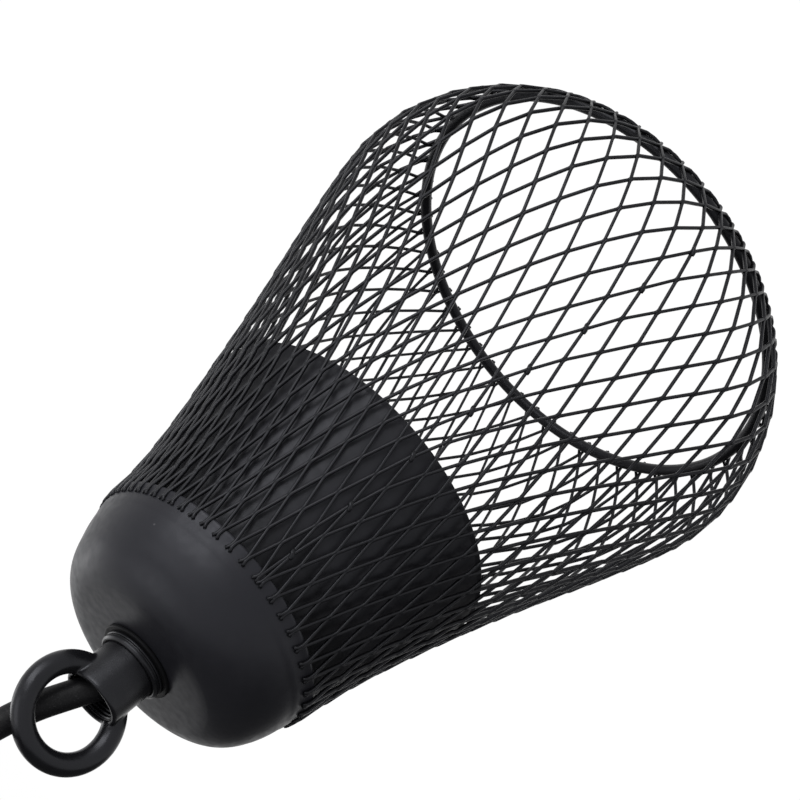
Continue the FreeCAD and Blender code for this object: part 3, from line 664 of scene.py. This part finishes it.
def azimuth(u, row):
    """Angle in degrees of column u, counted east from the seam. Outside 0 to CELLS lies the seam."""
    if u < 0.0 or u > CELLS:
        seam = (column(EAST, 0.0, row) + column(WEST, 0.0, row)) / 2.0
        return seam + (360.0 if u > CELLS else 0.0)
    if u <= FRONT:
        return column(EAST, u, row)
    if u >= CELLS - FRONT:
        return 360.0 + column(WEST, CELLS - u, row)
    run = CELLS - 2.0 * FRONT
    t = (u - FRONT) / run
    start = column(EAST, FRONT, row)
    end = 360.0 + column(WEST, FRONT, row)
    start_slope = (start - column(EAST, FRONT - 0.5, row)) * 2.0 * run
    end_slope = (360.0 + column(WEST, FRONT - 0.5, row) - end) * 2.0 * run
    return ((2 * t ** 3 - 3 * t ** 2 + 1) * start + (t ** 3 - 2 * t ** 2 + t) * start_slope
            + (3 * t ** 2 - 2 * t ** 3) * end + (t ** 3 - t ** 2) * end_slope)


def askew(point):
    """Lower end of the basket tilted with its hoop, and its upper end bowed."""
    t = min(max((ASKEW_FROM - point.z) / (ASKEW_FROM - ASKEW_TO), 0.0), 1.0)
    share = t * t * (3.0 - 2.0 * t)
    point.x += float(np.interp(point.z, *BOW))
    point.z += share * (ASKEW_X * point.x / ASKEW_AT + ASKEW_Y * point.y / ASKEW_AT + ASKEW_ALL)
    return point


def on_sheet(angle, s, lift):
    """Point on the basket at an angle in degrees, a length and a height over the sheet."""
    a = math.radians(angle)
    r, z, nr, nz = SHEET.at(min(s, SHEET.total))
    if s < CAP_HOLD:
        t = min(max((CAP_HOLD - s) / CAP_HOLD_SOFT, 0.0), 1.0)
        seat = skirt_radius(z) + STRAND_THICK * 0.8
        r = r * (1.0 - t) + seat * t
    if s > SHEET.total:
        turn = WRAP_START + (s - SHEET.total) / WRAP_R
        r = HOOP_R + WRAP_R * math.cos(turn)
        z = HOOP_Z - WRAP_R * math.sin(turn)
        nr = math.cos(turn)
        nz = -math.sin(turn)
    r += nr * lift
    z += nz * lift
    up = Vector((nr * math.cos(a), nr * math.sin(a), nz))
    return askew(Vector((r * math.cos(a), r * math.sin(a), z))), up


def strand_line(u_even, u_odd, sign):
    """Corners of one strand from the cap to the hoop, as (angle, length, lift). sign is the side of its even
    crossings that it runs on."""
    line = []
    last = len(ROWS) - 1
    for row, s in enumerate(ROWS):
        even = row % 2 == 0
        side = sign if even else -sign
        u = u_even if even else u_odd
        r = SHEET.at(min(s, SHEET.total))[0]
        beside = math.degrees(side * STRAND_WIDE * BESIDE / r)
        angle = azimuth(u, row) + beside
        s += SAG.get(row, 0.0) * max(0.0, math.sin(math.radians(angle - SEAM_ANGLE)))
        if row == 0:
            for out, back, lift in CAP_FEET:
                line.append((angle + math.degrees(side * out / r), s - back, lift))
            line.append((angle, s + BOND, LEAN))
        elif row == last:
            line.append((angle, s - BOND, -LEAN))
            onward = azimuth(u_odd, row) - azimuth(u_even, row)
            for reach, share in RIM_EAST if sign > 0.0 else RIM_WEST:
                line.append((angle + onward * share, SHEET.total + reach, 0.0))
        else:
            line.append((angle, s - BOND, -LEAN))
            line.append((angle, s + BOND, LEAN))
    return line


def soften(line, reach):
    """Corners turned: each inner corner becomes two points, reach mm from it or less on a short side."""
    out = [line[0]]
    for i in range(1, len(line) - 1):
        here = np.array(line[i])
        for other in (np.array(line[i - 1]), np.array(line[i + 1])):
            gap = other - here
            r = SHEET.at(min(here[1], SHEET.total))[0]
            length = math.hypot(math.radians(gap[0]) * r, gap[1])
            out.append(tuple(here + gap * min(reach / length, 0.42)))
    out.append(line[-1])
    return out


def add_strand(verts, faces, line, wide, thick, tapered):
    """Strand along a line of (angle, length, lift). tapered thins its end on the cap and on the hoop."""
    pairs = [on_sheet(*corner) for corner in soften(line, 0.3)]
    path = [point for point, up in pairs]
    ups = [up for point, up in pairs]
    wides = [wide] * len(path)
    thicks = [thick] * len(path)
    if tapered:
        thicks[0] = thick * 0.7
        wides[-1] = wide * 0.6
        thicks[-1] = thick * 0.6
    tube(path, ups, wides, thicks, verts=verts, faces=faces, power=0.7)


def add_seam_lugs(verts, faces):
    """Where the two edges of the sheet meet, the west one hooks over the east one in every second row."""
    for row in range(1, 16, 2):
        r = SHEET.at(ROWS[row])[0]
        seam = azimuth(-0.5, row)
        line = [(seam + math.degrees(x / r), ROWS[row] + y, lift) for x, y, lift in LUG]
        add_strand(verts, faces, line, LUG_WIDE, LUG_THICK, False)


def make_basket():
    verts = []
    faces = []
    for k in range(CELLS + 1):
        for sign in (1.0, -1.0):
            line = strand_line(k, k + 0.5 * sign, sign)
            add_strand(verts, faces, line, STRAND_WIDE, STRAND_THICK, True)
    add_seam_lugs(verts, faces)
    outward(add_piece("expanded_basket", verts, faces, MESH_COAT, ("mesh_cage",)))


make_basket()

# Hoop at the mouth

WELD_TURN = math.radians(262.0)     # where the rod's ends are joined
WELD_WIDE = 0.012                   # radians
WELD_HIGH = 0.16


def make_hoop():
    path = []
    ups = []
    sizes = []
    count = 240
    for k in range(count):
        turn = 2.0 * math.pi * k / count
        spoke = Vector((math.cos(turn), math.sin(turn), 0.0))
        path.append(askew(spoke * HOOP_R + Vector((0.0, 0.0, HOOP_Z))))
        ups.append(spoke)
        weld = math.exp(-((turn - WELD_TURN) / WELD_WIDE) ** 2)
        sizes.append(HOOP_WIRE_R + WELD_HIGH * weld)
    verts, faces = tube(path, ups, sizes, sizes, sides=20, closed=True)
    outward(add_piece("mouth_hoop_rod", verts, faces, HOOP_COAT, ("mouth_hoop",)))


make_hoop()

# Cup


CUP_TOP = -49.6
CUP_LOW = -104.1


def make_cup():
    """Cone cup with a turned lip."""
    top = CUP_TOP
    low = CUP_LOW
    profile = rounded([
        (17.25, top, 0.0), (29.6, top, 3.6), (32.4, top - 3.2, 3.0), (45.15, low + 1.4, 1.2),
        (45.75, low + 0.35, 0.3), (45.6, low, 0.25), (44.9, low, 0.25), (44.6, low + 0.9, 0.8),
        (31.6, top - 3.6, 2.4), (29.0, top - 0.8, 2.6), (17.25, top - 0.8, 0.0)], 9)
    cup = turned("cone_cup", profile, CUP_COAT_AND_SHADE, ("inner_cup",), 256)
    shifted(cup, -55.0, -103.7, -0.45, 0.012)


make_cup()

# Lampholder

DOME_FOOT = CUP_TOP
BLOCK_TOP = -42.1
BLOCK_FOOT = -51.1
TERMINAL_R = 9.5


def make_sleeve():
    """Holder's sleeve with the coarse thread that the shade ring runs on."""
    top = DOME_FOOT + 6.8
    low = DOME_FOOT - 38.0

    def lift(turn, r, z):
        if r < 16.5 or z > DOME_FOOT - 1.0 or z < low + 3.0:
            return r, z
        return r - 0.22 * (1.0 + helix(turn, z - low, 2.5)), z

    profile = [(15.3, top), (15.3, low + 1.0), (14.7, low + 0.9), (14.7, low + 0.1), (14.9, low),
               (16.3, low), (16.8, low + 0.3), (17.0, low + 0.8)]
    profile += [(17.0, low + 2.0 + 0.36 * k) for k in range(100)] + [(17.0, top)]
    turned("holder_sleeve_body", profile, HOLDER, ("holder_sleeve",), 144, lift)


def make_shell():
    """Screw shell rolled to the lamp's round thread, plain at both ends."""
    top = BLOCK_FOOT
    low = BLOCK_FOOT - 27.0

    def lift(turn, r, z):
        if r < 13.0:
            return r, z
        fade = min(max((z - low) / 2.0, 0.0), 1.0) * min(max((top - 4.2 - z) / 2.0, 0.0), 1.0)
        return r - 0.21 * fade * (1.0 - helix(turn, z - low, 3.62)), z

    profile = [(13.3, low + 0.02), (13.8, low)]
    profile += [(13.8, low + 0.4 * k) for k in range(1, 60)]
    profile += [(13.6, top - 2.2), (11.0, top), (8.5, top)]
    profile += [(8.5, top - 0.5), (10.9, top - 0.5), (13.2, top - 2.9)]
    profile += [(13.3, low + 0.4 * k) for k in range(59, 0, -1)]
    turned("lamp_screw_shell", profile, BRASS, ("screw_shell",), 144, lift)


def make_dome():
    """Dome of the holder with a grip of shallow ribs at its foot."""

    def lift(turn, r, z):
        if r < 20.2 or z > DOME_FOOT + 2.6:
            return r, z
        return r + 0.3 * (max(0.0, math.cos(turn * 36.0)) - 1.0), z

    profile = rounded([(r, DOME_FOOT + up, bend) for r, up, bend in (
        (5.1, 13.0, 0.0), (11.0, 13.0, 1.0), (15.6, 10.3, 6.0), (19.4, 6.2, 6.0), (21.0, 2.4, 1.0),
        (21.0, 0.0, 0.5), (17.25, 0.0, 0.0), (17.25, 7.0, 0.3), (13.4, 9.4, 3.0), (9.4, 9.8, 0.0),
        (5.1, 9.8, 0.0))], 7)
    turned("holder_dome_body", profile, HOLDER, ("holder_dome",), 216, lift)


def make_shade_ring():
    """Ring that clamps the cup's top plate: a fluted hub and a flange with finger notches."""
    top = DOME_FOOT - 0.82

    def lift(turn, r, z):
        if 18.0 < r < 20.0 and z < top - 1.7:
            return r - 0.35 * flutes(turn, 40.0), z
        if r > 21.5:
            return r - 0.3 * max(0.0, math.cos(turn * 24.0)), z
        return r, z

    profile = rounded([
        (17.2, top, 0.0), (17.2, top - 4.95, 0.2), (19.2, top - 4.95, 0.4), (19.2, top - 1.6, 0.3),
        (22.5, top - 1.6, 0.4), (22.5, top, 0.3)])
    turned("shade_ring_body", profile, HOLDER, ("shade_ring",), 240, lift)


def make_block():
    """Ceramic block with a raised rim."""
    top = BLOCK_TOP
    foot = BLOCK_FOOT
    profile = rounded([
        (4.0, top, 0.4), (4.0, top - 5.4, 0.0), (1.55, top - 5.4, 0.0), (1.55, foot, 0.0), (12.0, foot, 0.0),
        (12.6, foot + 0.6, 0.3), (15.1, foot + 0.8, 0.4), (15.1, top, 0.6)])
    turned("contact_block_body", profile, CERAMIC, ("contact_block",), 144)


def make_centre_contact():
    """Contact button under the block, on a stem through it."""
    profile = rounded([(r, BLOCK_FOOT + up, bend) for r, up, bend in (
        (0.0, 3.6, 0.0), (0.0, -1.6, 0.0), (1.7, -1.6, 0.8), (2.6, -1.0, 0.6), (3.2, -0.4, 0.3),
        (3.2, 0.0, 0.0), (1.5, 0.0, 0.0), (1.5, 3.6, 0.0))])
    turned("centre_contact_button", profile, BRASS, ("centre_contact",), 64)


def make_terminals():
    """Three slotted cheese heads on the block."""
    steps = 48
    slot_half = 0.28
    slot_floor = 0.9
    rings = ((1.7, 0.0), (1.7, 1.3), (1.55, 1.55), (1.3, 1.6), (0.4, 1.6), (0.0, 1.6))
    verts = []
    faces = []
    for k in range(3):
        spot = math.radians(90.0 + 120.0 * k)
        centre_x = TERMINAL_R * math.cos(spot)
        centre_y = TERMINAL_R * math.sin(spot)
        base = len(verts)
        for i in range(steps):
            turn = 2.0 * math.pi * i / steps
            for r, up in rings:
                x = r * math.cos(turn)
                y = r * math.sin(turn)
                if abs(y) < slot_half and up > 1.0:
                    up = slot_floor
                verts.append((centre_x + x, centre_y + y, BLOCK_TOP + up))
        for i in range(steps):
            a = base + i * len(rings)
            b = base + ((i + 1) % steps) * len(rings)
            for m in range(len(rings) - 1):
                faces.append((a + m, b + m, b + m + 1, a + m + 1))
        faces.append(tuple(base + i * len(rings) for i in reversed(range(steps))))
    outward(add_piece("terminal_heads", verts, faces, BRASS, ("terminal_screws",), 35))


make_sleeve()
make_shell()
make_dome()
make_shade_ring()
make_block()
make_centre_contact()
make_terminals()

# Ceiling fitting

ROSE_FOOT = 100.0


def make_rose():
    profile = rounded([(r, ROSE_FOOT + up, bend) for r, up, bend in (
        (6.85, 0.0, 0.0), (11.0, 0.0, 1.0), (11.6, 0.35, 0.5), (26.5, 0.35, 5.6), (32.0, 6.0, 5.0),
        (32.0, 23.0, 0.4), (31.6, 24.0, 0.3), (30.5, 24.0, 0.2), (30.5, 6.0, 4.0), (26.0, 1.6, 4.0),
        (6.85, 1.6, 0.0))], 9)
    return turned("rose_cover", profile, CAP_COAT, ("ceiling_rose",), 200)


def make_grip():
    """Cord grip: ribbed head under the rose and a shank through it."""

    def lift(turn, r, z):
        if r > 7.2 and z > ROSE_FOOT - 2.6:
            return r - 0.35 * flutes(turn, 24.0), z
        return r, z

    profile = rounded([(r, ROSE_FOOT + up, bend) for r, up, bend in (
        (3.85, -3.0, 0.3), (7.2, -3.0, 0.8), (8.5, -1.8, 0.6), (8.5, 0.0, 0.2), (6.5, 0.0, 0.0),
        (6.5, 12.5, 0.2), (6.0, 13.0, 0.2), (3.85, 13.0, 0.0))], 6)
    return turned("cord_grip_body", profile, HOLDER, ("cord_grip",), 192, lift)


def make_grip_nut():
    """Fluted nut that holds the grip from inside the rose."""
    foot = ROSE_FOOT + 1.6
    top = ROSE_FOOT + 4.5

    def lift(turn, r, z):
        if r > 9.0:
            return r - 0.4 * flutes(turn, 20.0), z
        return r, z

    profile = rounded([(6.6, foot, 0.0), (10.0, foot, 0.4), (10.0, top, 0.4), (6.6, top, 0.0)])
    return turned("cord_grip_nut_ring", profile, HOLDER, ("cord_grip_nut",), 160, lift)


rose_cover = make_rose()
grip_body = make_grip()
grip_nut_ring = make_grip_nut()

# Small solids that show as they were built, with a material of the scene
for node, material in (("threaded_nipple", ZINC), ("inner_washer", ZINC), ("inner_lock_nut", ZINC),
                       ("ceiling_strap", ZINC), ("flex_cores", CORES)):
    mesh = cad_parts[node].data
    mesh.materials.clear()
    mesh.materials.append(material)

# Floor, world and lights

FLOOR_Z = -1.25
FLOOR_REACH = 4.0
FLOOR_GLOW = 1.1                        # strength that the camera and glossy rays see
FLOOR_GLOW_SHARE = 0.88                 # the rest of the floor's look takes the lamp's shadow
FILL = 0.45                             # strength of the world on dull surfaces
WHITE = (1.0, 1.0, 1.0, 1.0)
DARK_SIDE = (-0.771, 0.354, 0.530)      # side of the studio that is dark in reflections
DARK_EDGE = (0.50, 0.645)               # cosines between which it fades in
DARK_LEVEL = 0.1
LAMP_MIDDLE = (0.0, 0.0, -0.12)


def full_for(tree, kinds, value=None):
    """1 for these kinds of ray, and value or nothing for the others."""
    path = tree.nodes.new("ShaderNodeLightPath")
    sockets = [path.outputs[kind] for kind in kinds]
    if value is not None:
        sockets.append(value)
    total = sockets[0]
    for socket in sockets[1:]:
        node = tree.nodes.new("ShaderNodeMath")
        node.operation = "MAXIMUM"
        tree.links.new(total, node.inputs[0])
        tree.links.new(socket, node.inputs[1])
        total = node.outputs[0]
    return total


def is_seen(tree):
    return full_for(tree, ("Is Camera Ray", "Is Glossy Ray", "Is Transmission Ray"))


def surround(tree, direction):
    """Strength of the white surround in a direction: 1 for camera and transmission rays, and in reflections
    weaker on the studio's dark side."""
    dot = tree.nodes.new("ShaderNodeVectorMath")
    dot.operation = "DOT_PRODUCT"
    dot.inputs[1].default_value = DARK_SIDE
    tree.links.new(direction, dot.inputs[0])
    fade = tree.nodes.new("ShaderNodeMapRange")
    fade.interpolation_type = "SMOOTHSTEP"
    fade.inputs["From Min"].default_value = DARK_EDGE[0]
    fade.inputs["From Max"].default_value = DARK_EDGE[1]
    fade.inputs["To Min"].default_value = 1.0
    fade.inputs["To Max"].default_value = DARK_LEVEL
    tree.links.new(dot.outputs["Value"], fade.inputs["Value"])
    return full_for(tree, ("Is Camera Ray", "Is Transmission Ray"), fade.outputs["Result"])


def floor_direction(tree):
    """Direction from the middle of the lamp to a place on the floor."""
    geometry = tree.nodes.new("ShaderNodeNewGeometry")
    away = tree.nodes.new("ShaderNodeVectorMath")
    away.operation = "SUBTRACT"
    away.inputs[1].default_value = LAMP_MIDDLE
    tree.links.new(geometry.outputs["Position"], away.inputs[0])
    unit = tree.nodes.new("ShaderNodeVectorMath")
    unit.operation = "NORMALIZE"
    tree.links.new(away.outputs[0], unit.inputs[0])
    return unit.outputs[0]


def times(tree, value, factor):
    node = tree.nodes.new("ShaderNodeMath")
    node.operation = "MULTIPLY"
    node.inputs[1].default_value = factor
    tree.links.new(value, node.inputs[0])
    return node.outputs[0]


def blended(tree, share, one, two, target):
    """Shaders one and two mixed by a share and joined to the target."""
    blend = tree.nodes.new("ShaderNodeMixShader")
    tree.links.new(share, blend.inputs[0])
    tree.links.new(one.outputs[0], blend.inputs[1])
    tree.links.new(two.outputs[0], blend.inputs[2])
    tree.links.new(blend.outputs[0], target)


def make_floor():
    reach = FLOOR_REACH
    corners = [(-reach, -reach), (reach, -reach), (reach, reach), (-reach, reach)]
    mesh = bpy.data.meshes.new("studio_floor")
    mesh.from_pydata([(x, y, FLOOR_Z) for x, y in corners], [], [(0, 1, 2, 3)])
    material = bpy.data.materials.new("floor_white")
    material.use_nodes = True
    tree = material.node_tree
    shader = tree.nodes["Principled BSDF"]
    shader.inputs["Base Color"].default_value = (0.88, 0.88, 0.88, 1.0)
    shader.inputs["Roughness"].default_value = 0.9
    glow = tree.nodes.new("ShaderNodeEmission")
    glow.inputs["Color"].default_value = WHITE
    strength = times(tree, surround(tree, floor_direction(tree)), FLOOR_GLOW)
    tree.links.new(strength, glow.inputs["Strength"])
    share = times(tree, is_seen(tree), FLOOR_GLOW_SHARE)
    blended(tree, share, shader, glow, tree.nodes["Material Output"].inputs["Surface"])
    mesh.materials.append(material)
    floor = bpy.data.objects.new("studio_floor", mesh)
    scene.collection.objects.link(floor)


def make_world():
    world = bpy.data.worlds.new("studio")
    scene.world = world
    world.use_nodes = True
    tree = world.node_tree
    fill = tree.nodes["Background"]
    fill.inputs["Color"].default_value = WHITE
    fill.inputs["Strength"].default_value = FILL
    seen = tree.nodes.new("ShaderNodeBackground")
    seen.inputs["Color"].default_value = WHITE
    sky = tree.nodes.new("ShaderNodeTexCoord")
    tree.links.new(surround(tree, sky.outputs["Generated"]), seen.inputs["Strength"])
    blended(tree, is_seen(tree), fill, seen, tree.nodes["World Output"].inputs["Surface"])


def add_light(name, place, target, size, power):
    """Soft light that the camera doesn't see, at a place in metres and turned to its target."""
    data = bpy.data.lights.new(name, "AREA")
    data.shape = "RECTANGLE"
    data.size, data.size_y = size
    data.energy = power
    light = bpy.data.objects.new(name, data)
    light.location = place
    light.visible_camera = False
    light.rotation_euler = (Vector(target) - Vector(place)).to_track_quat("-Z", "Y").to_euler()
    scene.collection.objects.link(light)


make_floor()
make_world()
add_light("key", (0.62, -0.66, -0.08), (0.0, 0.0, -0.06), (0.8, 0.42), 5.5)
add_light("top", (0.7, -0.3, 0.95), (0.0, 0.0, -0.08), (0.8, 0.8), 3.5)
add_light("rim", (0.85, 0.95, 0.3), (0.0, 0.0, -0.1), (0.8, 0.5), 2.5)
